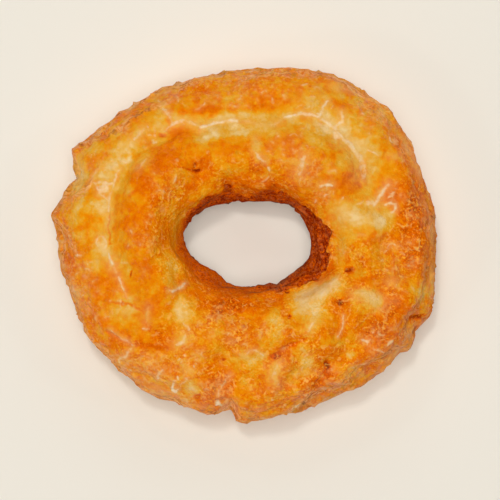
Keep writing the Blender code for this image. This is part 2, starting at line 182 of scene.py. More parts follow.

# Milky threads and smears of glaze, some of them short painted glints, as at (-6.4, -36.4) and (-16.3,
# -10.4): width, strength, points
MILK_AND_GLINT_LINES = (
    (0.75, 0.75, (-19.4, 33.2), (-18.6, 32), (-17.6, 30.8), (-16.8, 29.7), (-16.2, 28.4)),
    (1, 0.75, (-18.4, 26.1), (-17.4, 27.1), (-15.2, 28.1), (-13, 28.1), (-10.9, 27.5), (-9.4, 26.7)),
    (0.9, 1, (-9.6, 26.7), (-8, 27.1), (-6.4, 27.8), (-5, 28.1), (-3, 28.3), (-1.6, 28.2)),
    (0.9, 0.5, (-3, 28.3), (1, 28), (4, 27.5), (7, 27.8), (9, 28.6)),
    (0.8, 0.9, (9, 28.6), (12, 29.6), (14, 29.8), (15.5, 29.6), (17, 29.4)),
    (0.7, 0.9, (16.8, 29.3), (17.8, 30.3), (18.3, 31.8), (19.4, 33.3)),
    (1, 1, (17.3, 28.9), (19, 27.8), (20.5, 27.1), (21.2, 26.3), (21.9, 25.2), (22.8, 24.1)),
    (0.9, 0.9, (21.1, 27.2), (21.8, 28.2), (22.4, 29.1), (22.3, 30.6)),
    (0.6, 0.7, (21.9, 28.3), (21.3, 29.4), (21.6, 30.2)),
    (1.4, 0.9, (22.8, 24.1), (24.2, 22.9), (25.4, 21.6)),
    (1.7, 0.75, (25.4, 21.7), (26.5, 19.8), (26.7, 17.6), (26.7, 15.8)),
    (0.7, 0.8, (-28.1, 17.4), (-28.9, 16.4), (-29.2, 14.6), (-29.6, 13.4)),
    (0.8, 0.7, (-29.6, 13.4), (-30.4, 11.6), (-30.5, 9.5), (-30.4, 8)),
    (0.6, 0.8, (-34.2, 14.5), (-32.5, 14.6), (-30.6, 14.2), (-29.6, 14.5)),
    (0.6, 0.7, (-34.2, 14.5), (-32.6, 12.6), (-31.3, 11), (-30.6, 10)),
    (0.6, 0.55, (-34.2, 15.1), (-33.6, 17.4), (-31, 17.8), (-28.6, 17.7)),
    (1.1, 1.15, (-30.8, -1.7), (-30.2, -3), (-29.5, -4.4)),
    (0.9, 0.55, (-29.6, -4.2), (-28.9, -6), (-28.2, -7.4)),
    (0.6, 1, (-28.4, -6.8), (-27.8, -8.4), (-27.1, -9.8)),
    (0.7, 0.55, (-27.2, -9.8), (-26.7, -11.2), (-26.2, -12), (-25, -12)),
    (0.6, 0.7, (-33, 2.2), (-33.2, 0.8), (-32, -0.4), (-31.2, 0.8), (-32, 2), (-33, 2.2)),
    (0.8, 0.8, (-27.8, -3.9), (-26.4, -3.8)),
    (0.55, 0.95, (-16.9, -9.9), (-16.3, -10.4), (-15.4, -10.1), (-14.4, -9.3), (-13.5, -8.4)),
    (0.6, 0.6, (-17.6, -13.5), (-16.6, -12.6)), (1, 0.5, (-22.1, -14.2), (-22.2, -15.6), (-22.3, -17.2)),
    (1, 0.9, (-23.2, -18.6), (-21.8, -18.7)),
    (0.6, 0.7, (-30.5, -19.2), (-28, -20.8), (-26, -22), (-25.3, -22.8)),
    (0.7, 0.75, (-25.4, -22.8), (-26, -24), (-27.2, -25.2), (-28.3, -26), (-28.4, -27.4)),
    (0.8, 0.9, (-19.4, -30.2), (-19.3, -28.8), (-18.6, -28.2)),
    (0.5, 1.2, (-15.8, -24.7), (-15.2, -25.1)), (0.5, 1.2, (-15, -26), (-14.3, -25.3)),
    (0.5, 1, (-13.7, -24.6), (-12.9, -25.2)), (0.5, 1.3, (-11.6, -26.8), (-11, -27.6)),
    (0.4, 0.9, (-10.9, -26.4), (-10.4, -27)), (0.9, 1, (-13.6, -17.4), (-12.8, -18.4), (-12.4, -19.2)),
    (0.5, 0.7, (-10.2, -17.4), (-10.7, -18.8)), (1.3, 0.75, (-15.2, -22.4), (-14, -21.8), (-13.2, -20.4)),
    (0.8, 0.6, (-12.4, -22.8), (-11.6, -22.2)),
    (0.6, 1.2, (-16.2, -31.4), (-16.3, -32.6), (-15.6, -33.3), (-15, -32.8)),
    (0.7, 1.1, (-15.3, -29.4), (-15, -30.6)), (0.6, 0.8, (-13.1, -30), (-12.8, -30.5)),
    (0.7, 0.6, (-3.1, -29.4), (-4.2, -30.6), (-5, -31.8), (-5.6, -33.2), (-5.8, -34.6)),
    (1.2, 1.5, (-6.4, -36.4), (-5.8, -35.6), (-5.2, -36.4)),
    (0.6, 0.7, (0.4, -24.6), (1.4, -23.6), (2.4, -23.4), (3.6, -24), (4.4, -24.9)),
    (0.7, 0.6, (-1.2, -24.6), (0, -24.9), (1.2, -25.4)),
    (1.3, 0.6, (7.9, -26.4), (7.2, -28), (6.9, -30), (7.6, -31.6)),
    (0.4, 0.75, (22.4, -15.6), (22.4, -17.4), (21.9, -19), (21.2, -20.6)),
    (0.8, 0.5, (24.6, -11.4), (28, -12.7), (31, -14.2), (32.4, -13.4)),
    (0.8, 0.5, (24.6, -10.9), (26.6, -10.6), (28.4, -10.6)),
    (1, 0.6, (13, -12), (16, -11.6), (18.6, -10), (20, -8.4)),
    (0.7, 0.7, (19.8, -10.2), (20, -8.8), (21.4, -7.4)),
    (0.7, 0.8, (30.4, -19.4), (31.2, -20.2), (32, -20)), (1.1, 1.1, (32.6, -22.5), (33.8, -21.5)),
    (0.8, 0.9, (26.8, -21.3), (27.8, -21.6), (28.8, -21.4)),
    (0.6, 0.8, (29.6, -23.6), (30.6, -23.7), (31.8, -24.3)),
    (0.9, 0.7, (15.8, -17), (15, -18.2), (14.4, -19.2)),
    (1, 0.9, (29.6, 9), (30.6, 10.4), (31.6, 12.2), (32.8, 14)), (1.6, 0.9, (27.8, 9.8), (29.6, 9.4)),
    (0.6, 0.9, (32, 9.2), (33.2, 9.7), (34.3, 9), (34.3, 8), (33.2, 7.6)),
    (0.7, 0.9, (32.8, 10.8), (34.2, 12.2)), (0.7, 0.9, (33, 12.2), (33.6, 11)),
    (0.8, 1.1, (17.2, 13.6), (18.6, 13.9), (19.8, 13.6)), (1.2, 0.7, (19, 16.8), (20.6, 17)),
    (0.8, 0.8, (21.6, 9.8), (22.6, 11.2)), (0.8, 0.8, (25.4, 9.4), (27, 10)),
    (1.6, 0.7, (12.6, 16.4), (12.8, 18), (13.4, 20)), (0.7, 0.8, (2.4, 21.4), (3.6, 20.2), (5, 19)),
    (0.8, 1.3, (5.7, 18), (5.9, 16.9)), (0.7, 1, (4.2, 14.5), (5.6, 15.8)),
    (0.8, 0.8, (6.3, 33.8), (6.4, 32.4)), (1.2, 0.8, (8.8, 34.8), (9.4, 33.6)),
    (0.9, 0.8, (13.2, 36.8), (14.6, 37.2)), (1.3, 0.8, (15.2, 34.2), (16.6, 34.3)),
    (0.8, 0.8, (14.4, 31), (15.2, 32.2)), (0.6, 0.7, (15.6, 31), (16, 32.4)),
    (0.6, 0.7, (10.4, 25.2), (11.4, 25.6), (12.2, 25)),
    (0.5, 0.8, (28.2, 22), (29.4, 21.2), (30.6, 20.6)),
    (0.6, 0.9, (33.4, 25), (33.8, 23.8), (34.6, 23.9)), (0.8, 0.9, (36.2, 24.4), (36.8, 23.6)),
    (0.7, 0.7, (35.8, 19), (36.8, 19.8)), (0.9, 0.75, (-15.4, 34.4), (-15, 33.2)),
    (0.7, 0.6, (-18, 30.9), (-16.2, 30.1)), (1.2, 0.7, (-22.7, 26.5), (-23.8, 25.6), (-25, 24.4)),
    (0.8, 1.1, (-22, 27.4), (-21.7, 26.9)), (0.8, 0.85, (-20.8, 23.3), (-19.8, 23.6)),
    (1, 0.6, (-22.9, 22.2), (-21.9, 22.4)), (0.9, 1, (-28, 19.4), (-27.2, 19.5), (-26.6, 19)),
    (0.8, 0.8, (-30.2, 21.3), (-29.5, 22.2)), (0.8, 0.55, (-24.4, 17.6), (-23.4, 18.4), (-22.2, 19.6)),
    (0.8, 0.9, (-15.2, 20), (-14.8, 19.2)), (0.7, 0.8, (-8.2, 20.8), (-7.8, 21.5)),
    (0.8, 0.8, (-16, 14.4), (-15.4, 15.4), (-15.2, 16.2)), (0.6, 0.7, (-18.4, 12.4), (-17.6, 12)),
    (0.8, 1, (-38.4, -2.2), (-37, -2.1)), (0.8, 0.7, (-42.4, 0.8), (-41.2, 1.1)),
    (0.6, 0.8, (32.4, -0.2), (33.4, 0.6), (34.4, 0)), (0.6, 0.8, (31.6, -1.6), (32.4, -0.8)),
    (0.7, 0.8, (35.4, -1.4), (36.4, -2.2)), (0.7, 0.7, (38, -9.2), (38.8, -10.2)),
    (0.7, 1, (41.2, -4.2), (42, -4.8)), (1, 0.7, (12.6, -23.2), (13.8, -24)),
    (1, 0.6, (23.4, -24.4), (24.4, -25.6)), (0.6, 1.2, (6.2, -34.8), (6.7, -35)),
    (0.6, 1, (0.4, -38), (0.9, -38.6)), (0.6, 0.9, (14.6, -35.2), (15.2, -34.6), (15.8, -35)),
    (0.5, 0.9, (11, -37.2), (13.4, -36)),
)

# Soft milky spots; the one at (16.4, -9.8) is painted light on a shaded fold by the hole: x, y, half sizes,
# strength, turn
MILK_SPOTS = (
    (-31.8, 13.2, 1.3, 1.6, 0.8, -40), (-32.2, 0.8, 1.1, 1.2, 0.6), (-30.6, 6, 1, 3, 0.45),
    (17.6, 27.4, 2.6, 0.9, 0.6, -20), (20.9, 25.3, 1.8, 1, 0.8, -50), (24.4, 22.6, 1.8, 0.9, 0.3, -45),
    (26.6, 18.4, 1.1, 3, 0.5, 8), (28.6, -11.4, 3.8, 1.3, 0.55, -14), (22.6, 7.2, 2.4, 2.4, 0.4),
    (30, 6.2, 2.4, 1.6, 0.3), (-38, 17, 1.2, 3.4, 0.35), (2.8, 23.6, 0.9, 1.6, 0.35),
    (-2.6, -21.6, 1, 1, 0.3), (-12.4, -28.2, 1.6, 1, 0.4), (-11.6, -32.5, 1.4, 1.1, 0.5),
    (-18, -34.4, 5, 1.2, 0.45, -35), (-38.6, -11, 1, 3.6, 0.45, 20), (34.2, -12.4, 1.2, 1.2, 0.2),
    (33.6, -8, 1.8, 1.2, 0.3), (37.4, 22.4, 0.9, 3.2, 0.5, 25), (39.6, 17.6, 0.9, 3.2, 0.45, 20),
    (43, 3, 0.8, 3, 0.45), (43.2, -8, 0.8, 4, 0.4), (34.6, -25.6, 3.6, 1, 0.45, 42),
    (38.2, -20.6, 1, 2.2, 0.35, -30), (22, 36.4, 3, 0.9, 0.4, -15), (31.6, 30.6, 0.9, 1.8, 0.45, 35),
    (34.2, 20.4, 1.6, 0.8, 0.35), (10, -38.2, 4, 0.7, 0.35, 18), (-25.8, 32.2, 1.6, 0.6, 0.5, 30),
    (-17.6, 36, 3.6, 0.6, 0.4, 20), (-26.4, -15.2, 1.4, 0.9, 0.35), (9, -23.4, 0.7, 0.5, 0.45, 30),
    (28.8, 9.7, 1.2, 0.8, 0.4), (-31.4, 18.4, 2, 1, 0.3), (14.6, -12.6, 2.4, 2.2, 0.25),
    (16.4, -9.8, 2.6, 1, 0.55, 38), (26, 6.2, 3.6, 1.2, 0.25), (30.6, -12.6, 2.4, 0.9, 0.3, -22),
    (-14, -15, 1.4, 2.2, 0.25),
)

# Where the thin film wrinkled into curls: x, y, half sizes, count, heading, spread, length
CURL_FIELDS = (
    (-22.5, -28.5, 5, 2.6, 60, 75, 40, 2.2), (-15, -31, 4, 2.6, 34, 60, 60, 2),
    (-12, -25.5, 4, 2.4, 22, 0, 180, 1.8), (-6, -33, 4, 3, 9, 70, 60, 1.8),
    (8, -34, 8, 3, 16, 0, 180, 1.3), (22, -29, 5, 4, 15, 0, 180, 1.2),
    (31, -20, 4.5, 4.5, 24, 0, 180, 1.8), (34, -4, 4, 5, 22, 60, 60, 1.7), (38, 4, 3, 8, 12, 0, 180, 1.2),
    (33, 11, 3, 4, 8, 70, 80, 1.6), (16, 32, 5, 3, 20, 40, 60, 1.6), (28, 29, 4, 4, 20, 0, 180, 1.2),
    (14, 18, 4, 4, 34, 80, 30, 1.6), (18, 12.5, 3, 3, 22, 70, 50, 1.6), (8, 22, 5, 3, 20, 0, 180, 1.6),
    (0, 34, 12, 3, 36, 60, 60, 1.4), (-24, 24, 5, 4, 24, 40, 60, 1.2), (-33, 20, 4, 4, 24, 0, 90, 1.2),
    (-18, 11, 4, 5, 10, 0, 180, 1.2), (-22, 2, 6, 6, 12, 50, 60, 1.4), (-36, -6, 4, 8, 34, 0, 180, 1.2),
    (-30, -14, 4, 4, 16, 0, 180, 1.4), (24, -1, 5, 3, 6, 10, 30, 2.2), (14, -28, 7, 4, 20, 0, 180, 1.6),
    (0, -20, 8, 3, 24, 60, 60, 1.4), (-7, -17, 3, 3, 12, 60, 60, 1.8),
)

# Fine even mesh that the relief is cut into, and the most triangles that stay of it
VOXEL, VOXEL_ROUNDS = 0.31, 4
MOST_TRIANGLES, KEEP_LEVELS, KEEP_WEIGHT = 196000, 4, 6.0

# Rounds of smoothing that find the hollows, level the groove and round the edges
HOLLOW_ROUNDS, LEVEL_ROUNDS, EDGE_ROUNDS = 160, 800, 60

# Distances from the doughnut's middle, then from the groove, over which each zone begins or fades
HOLE_END, GLAZE_START, RIM_START, BAND_START = (26, 22), (19, 22), (32.5, 35.5), (33, 36)
GLAZE_END, GROOVE_MIDDLE = (13, 5), (3.5, 1)

# How far the outlines of patches, threads, pits and creases wander: in large and in small waves
PATCH_WANDER, PALE_WANDER = (0.9, 0.0), (0.5, 0.25)
MILK_WANDER, PIT_WANDER, BREAK_WANDER = (0.2, 0.15), (0.2, 0.25), (0.4, 0.3)

# How high each kind of relief stands in each zone
TOP_CRAGS, SIDE_CRAGS, WALL_CRAGS = 0.20, 0.55, 0.40
TOP_GRAIN, SIDE_GRAIN, RIM_GRAIN, UNDER_GRAIN = 0.05, 0.10, 0.12, 0.06
TOP_CRUMBS, WALL_CRUMBS, RIM_CRUMBS = 0.10, 0.60, 0.30
RIM_NUBS, WALL_NUBS, LEDGES, LAYERS, WRINKLES, MILK = 0.50, 0.3, 0.5, 0.25, 0.22, 0.22
BUMP_SHARE, PIT_SHARE, FALLEN_DEPTH = 0.9, 0.6, 1.3

# Tones from 0 for pale crumb to 1 for the darkest brown; above TOP_BEND the top's rise half as fast
TOP_TONE, TOP_BEND, RIM_TONE, UNDER_TONE, WALL_TONE = 0.50, 0.60, 0.54, 0.70, 0.88
PALE_STEP, FRIED_STEP, FOOT_STEP = 0.38, 0.20, 0.30

# Spacing of points along a thread of glaze, how a patch fades, and settings of the noise
LINE_STEP = 0.4
PATCH_POWER, PATCH_FADE = 1.2, 0.8
HASH_SIZE, LUMP_GAIN, RIDGE_GAIN, OCTAVE_HEIGHT = 256, 1.7, 1.6, 0.55


def smooth_step(low, high, value):
    """A smooth change from 0 at low to 1 at high."""
    t = np.clip((value - low) / (high - low), 0.0, 1.0)
    return t * t * (3.0 - 2.0 * t)


def cell_numbers(order, cell):
    """A repeatable number below HASH_SIZE for each cell of a grid."""
    x, y, z = (cell % HASH_SIZE).T
    return order[(order[(order[x] + y) % HASH_SIZE] + z) % HASH_SIZE]


def lump_noise(points, size, seed):
    """Smooth noise of about -1 to 1, with lumps of one size."""
    draw = np.random.RandomState(seed)
    order = draw.permutation(HASH_SIZE)
    slopes = draw.normal(size=(HASH_SIZE, 3))
    slopes /= np.linalg.norm(slopes, axis=1, keepdims=True)
    place = points / size
    cell = np.floor(place).astype(int)
    inside = place - cell
    fade = inside ** 3 * (inside * (inside * 6.0 - 15.0) + 10.0)
    total = np.zeros(len(points))
    for corner in itertools.product((0, 1), repeat=3):
        step = np.array(corner)
        slope = slopes[cell_numbers(order, cell + step)]
        weight = np.prod(np.where(step, fade, 1.0 - fade), axis=1)
        total += weight * np.sum(slope * (inside - step), axis=1)
    return total * LUMP_GAIN


def rough_noise(points, size, octaves, seed):
    """Lumps on lumps, each layer half the size and about half as high."""
    layers = [lump_noise(points, size / 2 ** k, seed + 10 * k) * OCTAVE_HEIGHT ** k for k in range(octaves)]
    return sum(layers)


def ridge_noise(points, size, octaves, seed):
    """Noise with sharp ridges near 1 and round hollows near 0."""
    total, weight = 0.0, 0.0
    for k in range(octaves):
        lumps = lump_noise(points, size / 2 ** k, seed + 10 * k)
        total = total + (1.0 - np.abs(lumps) * RIDGE_GAIN) * 0.5 ** k
        weight += 0.5 ** k
    return np.clip(total / weight, 0.0, 1.0)


def cell_noise(points, size, seed):
    """Distance to the nearest of scattered seeds, one to a cube whose side counts as 1."""
    draw = np.random.RandomState(seed)
    order = draw.permutation(HASH_SIZE)
    offsets = draw.uniform(size=(HASH_SIZE, 3))
    place = points / size
    cell = np.floor(place).astype(int)
    nearest = np.full(len(points), np.inf)
    for step in itertools.product((-1, 0, 1), repeat=3):
        close = cell + np.array(step)
        seeds = close + offsets[cell_numbers(order, close)]
        nearest = np.minimum(nearest, np.sum((place - seeds) ** 2, axis=1))
    return np.sqrt(nearest)


def oval_place(plan, x, y, half_x, half_y, turn=0):
    """Places along both axes of a turned oval, 1 at its edge."""
    c, s = math.cos(math.radians(turn)), math.sin(math.radians(turn))
    dx, dy = plan[:, 0] - x, plan[:, 1] - y
    return (dx * c + dy * s) / half_x, (dy * c - dx * s) / half_y


def patch_field(plan, patches):
    """How strongly a place lies in any of some soft oval patches."""
    field = np.zeros(len(plan))
    for x, y, half_x, half_y, strength, *turn in patches:
        u, v = oval_place(plan, x, y, half_x, half_y, *turn)
        field = np.maximum(field, strength * np.exp(-(u * u + v * v) ** PATCH_POWER * PATCH_FADE))
    return field


def line_distance(plan, points):
    """Distance in plan to a line through points, and how far along it that is, 0 to 1."""
    nearest, place = np.full(len(plan), np.inf), np.zeros(len(plan))
    runs = np.linalg.norm(np.diff(np.array(points, float), axis=0), axis=1)
    before, total = 0.0, runs.sum()
    for start, end, length in zip(points[:-1], points[1:], runs):
        start, run = np.array(start), np.subtract(end, start)
        along = np.clip((plan - start) @ run / (run @ run), 0.0, 1.0)
        distance = np.linalg.norm(plan - start - along[:, None] * run, axis=1)
        place = np.where(distance < nearest, (before + along * length) / total, place)
        nearest = np.minimum(nearest, distance)
        before += length
    return nearest, place


def inside_distance(plan, outline):
    """Distance in plan to a closed outline, above 0 inside it and below 0 outside."""
    inside = np.zeros(len(plan), bool)
    for (ax, ay), (bx, by) in zip(outline, outline[1:] + outline[:1]):
        crosses = (ay > plan[:, 1]) != (by > plan[:, 1])
        crosses[crosses] = plan[crosses, 0] < ax + (plan[crosses, 1] - ay) * (bx - ax) / (by - ay)
        inside ^= crosses
    distance = line_distance(plan, outline + outline[:1])[0]
    return np.where(inside, distance, -distance)


def smooth_line(points):
    """Close points along a smooth curve through given ones."""
    points = np.array(points, float)
    padded = np.vstack([2 * points[0] - points[1], points, 2 * points[-1] - points[-2]])
    found = []
    for a, b, c, d in zip(padded[:-3], padded[1:-2], padded[2:-1], padded[3:]):
        count = max(2, int(round(np.linalg.norm(c - b) / LINE_STEP)))
        t = np.arange(count)[:, None] / count
        found.append(0.5 * (2 * b + (c - a) * t + (2 * a - 5 * b + 4 * c - d) * t ** 2
                            + (3 * b - a - 3 * c + d) * t ** 3))
    return np.vstack(found + [points[-1:]])


def curl_lines():
    """Short bent strokes of milky glaze and painted glints on the wrinkled film, scattered by field."""
    draw = np.random.RandomState(9)
    strokes = []
    for x, y, half_x, half_y, count, turn, spread, longest in CURL_FIELDS:
        for _ in range(count):
            start = np.array([x, y]) + draw.normal(size=2) * (half_x, half_y) * 0.6
            heading = math.radians(turn + draw.uniform(-spread, spread))
            bend = draw.uniform(-2.6, 2.6)
            length = longest * draw.uniform(0.3, 1.0)
            line = [start]
            for _ in range(3):
                line.append(line[-1] + np.array((math.cos(heading), math.sin(heading))) * length / 3)
                heading += bend * draw.uniform(0.3, 0.7)
            width, strength = draw.uniform(0.4, 0.7), draw.uniform(0.2, 0.7)
            strokes.append((width, strength, *line))
    return strokes


def milk_field(plan):
    """How milky the glaze is, from its threads, smears, curls and spots; some of these are painted glints,
    and one spot is painted light on a shaded fold.
    """
    milk_and_glints = patch_field(plan, MILK_SPOTS)
    for width, strength, *line in list(MILK_AND_GLINT_LINES) + curl_lines():
        points = smooth_line(line)
        reach = 2.5 * width
        low, high = points.min(axis=0) - reach, points.max(axis=0) + reach
        near = np.nonzero(np.all((plan > low) & (plan < high), axis=1))[0]
        if len(near) == 0:
            continue
        distance, along = line_distance(plan[near], points)

        # Long threads keep their width to the end, and have a milky halo
        long = smooth_step(1.5, 4.0, LINE_STEP * len(points))
        strength *= 0.7 + 0.5 * long
        taper = np.clip(np.sin(np.pi * along), 0.0, 1.0) ** 0.5
        half = (0.45 + 0.25 * long) * width * (0.35 + 0.65 * taper + 0.35 * long * (1.0 - taper))
        core = (1.0 - 0.25 * long) * strength * (1.0 - smooth_step(0.1, 1.5, distance / half))
        halo = 0.45 * long * strength * np.exp(-(distance / (1.3 * width)) ** 2)
        milk_and_glints[near] = np.maximum(milk_and_glints[near], np.maximum(core, halo))
    return milk_and_glints


def mesh_arrays(mesh):
    """A mesh's points in millimetres, and its normals."""
    found = []
    for name in ("co", "normal"):
        values = np.empty(len(mesh.vertices) * 3, np.float32)
        mesh.vertices.foreach_get(name, values)
        found.append(values.reshape(-1, 3).astype(float))
    return found[0] / MM, found[1]


def set_points(mesh, points):
    mesh.vertices.foreach_set("co", (points * MM).astype(np.float32).ravel())
    mesh.update()


def fit_box(points):
    """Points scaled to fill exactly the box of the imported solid."""
    low, high = points.min(axis=0), points.max(axis=0)
    want_low, want_high = np.array(cad_low) / MM, np.array(cad_high) / MM
    return want_low + (points - low) / (high - low) * (want_high - want_low)


def add_smoothing(piece, rounds):
    relax = piece.modifiers.new("smooth", "SMOOTH")
    relax.factor = 0.5
    relax.iterations = rounds


def taken_mesh(piece):
    """A new mesh of the piece as its modifiers make it; the modifiers come off."""
    graph = bpy.context.evaluated_depsgraph_get()
    mesh = bpy.data.meshes.new_from_object(piece.evaluated_get(graph))
    piece.modifiers.clear()
    return mesh


def fine_copy(node, name):
    """A copy of a solid as an even mesh of small quads."""
    piece = bpy.data.objects.new(name, node.data.copy())
    scene.collection.objects.link(piece)
    remesh = piece.modifiers.new("even", "REMESH")
    remesh.mode = "VOXEL"
    remesh.voxel_size = VOXEL * MM
    add_smoothing(piece, VOXEL_ROUNDS)
    piece.data = taken_mesh(piece)
    return piece


def smoothed_points(piece, rounds):
    """The piece's points after many rounds of smoothing, in millimetres."""
    add_smoothing(piece, rounds)
    mesh = taken_mesh(piece)
    points, _ = mesh_arrays(mesh)
    bpy.data.meshes.remove(mesh)
    return points


def thin_out(piece, field):
    """Fewer triangles where a field from 0 to 1 says that less detail shows."""
    group = piece.vertex_groups.new(name=field)
    shown = np.empty(len(piece.data.vertices), np.float32)
    piece.data.attributes[field].data.foreach_get("value", shown)
    for level in range(KEEP_LEVELS + 1):
        chosen = np.nonzero(np.round(shown * KEEP_LEVELS) == level)[0]
        group.add(chosen.tolist(), 1.0 - level / KEEP_LEVELS, "REPLACE")
    thin = piece.modifiers.new("thin", "DECIMATE")
    thin.ratio = min(1.0, MOST_TRIANGLES / (2 * len(piece.data.polygons)))
    thin.vertex_group = field
    thin.vertex_group_factor = KEEP_WEIGHT
    mesh = taken_mesh(piece)
    piece.vertex_groups.clear()
    piece.data = mesh
    set_points(mesh, fit_box(mesh_arrays(mesh)[0]))


class Zones:
    """Where each point lies, mostly as shares of zones from 0 to 1."""

    def __init__(self, points, normals):
        self.plan = points[:, :2]
        self.warp = np.stack([rough_noise(points, 3.4, 3, seed) for seed in (3, 4)], axis=1)
        self.small_warp = np.stack([rough_noise(points, 1.6, 2, seed) for seed in (1, 2)], axis=1)
        x, y = self.plan.T
        self.radius = np.linalg.norm(self.plan, axis=1)
        self.east = x / self.radius
        self.far_east = smooth_step(0.80, 0.96, self.east)
        self.up = normals[:, 2]
        steep = np.abs(self.up)
        outward = np.sum(normals[:, :2] * self.plan, axis=1) / self.radius
        outer = smooth_step(-0.1, 0.4, outward)
        self.top = smooth_step(0.15, 0.75, self.up)
        self.side = 1.0 - smooth_step(0.35, 0.8, steep)
        self.under = smooth_step(-0.3, -0.8, self.up)
        self.inner = smooth_step(0.1, -0.4, outward) * smooth_step(*HOLE_END, self.radius)
        self.wall = (1.0 - smooth_step(0.25, 0.60, steep)) * self.inner

        # The rim stands in ledges, and its streaked colours fill a wider band
        self.rim = self.side * outer * smooth_step(*RIM_START, self.radius)
        self.band = outer * smooth_step(*BAND_START, self.radius) * (1.0 - smooth_step(0.2, 0.6, self.up))

        # The brown wall of the hole: ragged at its top edge, which is sharp but for the lower left
        self.soft = 0.3 + 1.5 * smooth_step(-0.1, 0.9, -(0.6 * x + 0.8 * y) / self.radius)
        self.deep = smooth_step(-1.0, 1.0, inside_distance(self.wander(*BREAK_WANDER), BREAK) / self.soft)
        self.fallen = self.deep * smooth_step(0.1, 0.5, self.up) * smooth_step(0.35, 0.75, self.east)

        # The groove with its filling of glaze, the calm places, and the wrinkled film
        self.groove = np.minimum(*[line_distance(self.plan, line)[0] for line in GROOVE])
        self.filled = smooth_step(*GLAZE_END, self.groove) * smooth_step(0.0, 0.5, self.up)
        self.filled *= smooth_step(*GLAZE_START, self.radius)
        self.calm = patch_field(self.plan, CALM) * (1.0 - self.deep)
        fields = [(*field[:4], 1.0) for field in CURL_FIELDS]
        self.wrinkled = patch_field(self.wander(*PATCH_WANDER), fields)

    def wander(self, large, small):
        """The points' places in plan, moved about for ragged outlines."""
        return self.plan + self.warp * large + self.small_warp * small


class Texture:
    """Noise of the crust's relief, which its colours follow too."""

    def __init__(self, points, zones):
        twist = np.stack([rough_noise(points, 2.4, 2, seed) for seed in (5, 6, 7)], axis=1)
        self.bumps = lump_noise(points, 4.2, seed=11) * 0.20 + lump_noise(points, 2.2, seed=12) * 0.13
        self.crags = ridge_noise(points, 3.6, 3, seed=21) - 0.5
        self.grain = lump_noise(points, 1.05, seed=13) * 0.6 + lump_noise(points, 0.7, seed=14) * 0.5
        self.crumbs = 0.5 - cell_noise(points + twist * 0.5, 1.5, seed=31)
        self.nubs = smooth_step(0.50, 0.80, lump_noise(points, 1.3, seed=15))
        self.wrinkles = ridge_noise(points + twist * 0.4, 1.7, 2, seed=71) - 0.55

        # Ledges lie flat, and thin layers run on round the rim
        self.ledges = ridge_noise(points * np.array([0.55, 0.55, 1.8]), 4.0, 3, seed=41) - 0.5
        around = np.arctan2(zones.plan[:, 1], zones.plan[:, 0])
        across = points[:, 2] * 1.9 + zones.radius * 1.4
        strips = np.stack([np.cos(around) * 12.0, np.sin(around) * 12.0, across], axis=1)
        self.layers = ridge_noise(strips + twist * 0.5, 2.2, 3, seed=43) - 0.5


def softened(piece, points, normals, zones):
    """The surface with hollows part filled, edges round and the groove level, and where glaze pools."""
    hollow = np.sum((smoothed_points(piece, HOLLOW_ROUNDS) - points) * normals, axis=1)
    level = smoothed_points(piece, LEVEL_ROUNDS)
    rounded = smoothed_points(piece, EDGE_ROUNDS)
    edge = smooth_step(0.0, 0.3, zones.up) * smooth_step(0.95, 0.8, zones.up)
    bare = 1.0 - zones.filled
    points = points + normals * (0.70 * np.clip(hollow, 0.0, 3.0) * zones.top * bare)[:, None]
    for target, share in (
        (rounded, 0.8 * edge * bare * (1.0 - zones.fallen)),
        (level, 0.95 * zones.filled),
        (rounded, 0.85 * zones.calm),
    ):
        points = points + (target - points) * share[:, None]
    return points, smooth_step(0.05, 0.9, hollow) * zones.top


def relief(points, zones, texture, smooth, milk_and_glints):
    """Height of the crust's relief, before its pits are cut."""
    top, side, rim, wall = zones.top, zones.side, zones.rim, zones.wall
    rough = 1.0 - smooth
    height = texture.bumps * (BUMP_SHARE * top + BUMP_SHARE * side)
    crags = TOP_CRAGS * top * (1.0 - 0.6 * smooth) + SIDE_CRAGS * side * (1.0 - zones.inner)
    crags += WALL_CRAGS * wall
    grain = TOP_GRAIN * top * rough + SIDE_GRAIN * side + RIM_GRAIN * rim + UNDER_GRAIN * zones.under
    crumbs = TOP_CRUMBS * top * rough + WALL_CRUMBS * np.maximum(wall, zones.fallen) + RIM_CRUMBS * rim
    height += texture.crags * crags
    height += texture.grain * grain
    height += texture.crumbs * crumbs
    height *= 1.0 - 0.7 * zones.calm
    height -= FALLEN_DEPTH * zones.fallen
    higher = 1.0 - 0.4 * smooth_step(10.0, 16.0, points[:, 2])
    height += (texture.ledges * LEDGES + texture.layers * LAYERS) * rim * higher
    height += texture.nubs * (RIM_NUBS * rim + WALL_NUBS * wall)
    height += texture.wrinkles * WRINKLES * zones.wrinkled * top
    height += MILK * np.clip(milk_and_glints, 0.0, 1.0) * top
    return height


def cut_pits(height, zones):
    """Cuts pits and creases into the relief, and says how dark they are."""
    pit_dark = np.zeros(len(height))
    ragged = zones.wander(*PIT_WANDER)
    for x, y, half_x, half_y, depth, dark, *turn in PITS:
        distance = np.hypot(*oval_place(ragged, x, y, half_x, half_y, *turn))
        height -= PIT_SHARE * depth * (1.0 - smooth_step(0.1, 1.5, distance)) * zones.top
        pit_dark = np.maximum(pit_dark, dark * (1.0 - smooth_step(0.3, 2.0, distance)))
    ragged = zones.wander(*BREAK_WANDER)
    for start, end, size, depth, dark in CREASES:
        distance = line_distance(ragged, (start, end))[0] / size
        height -= depth * (1.0 - smooth_step(0.1, 1.3, distance)) * zones.top
        pit_dark = np.maximum(pit_dark, dark * (1.0 - smooth_step(0.3, 1.7, distance)))
    return pit_dark


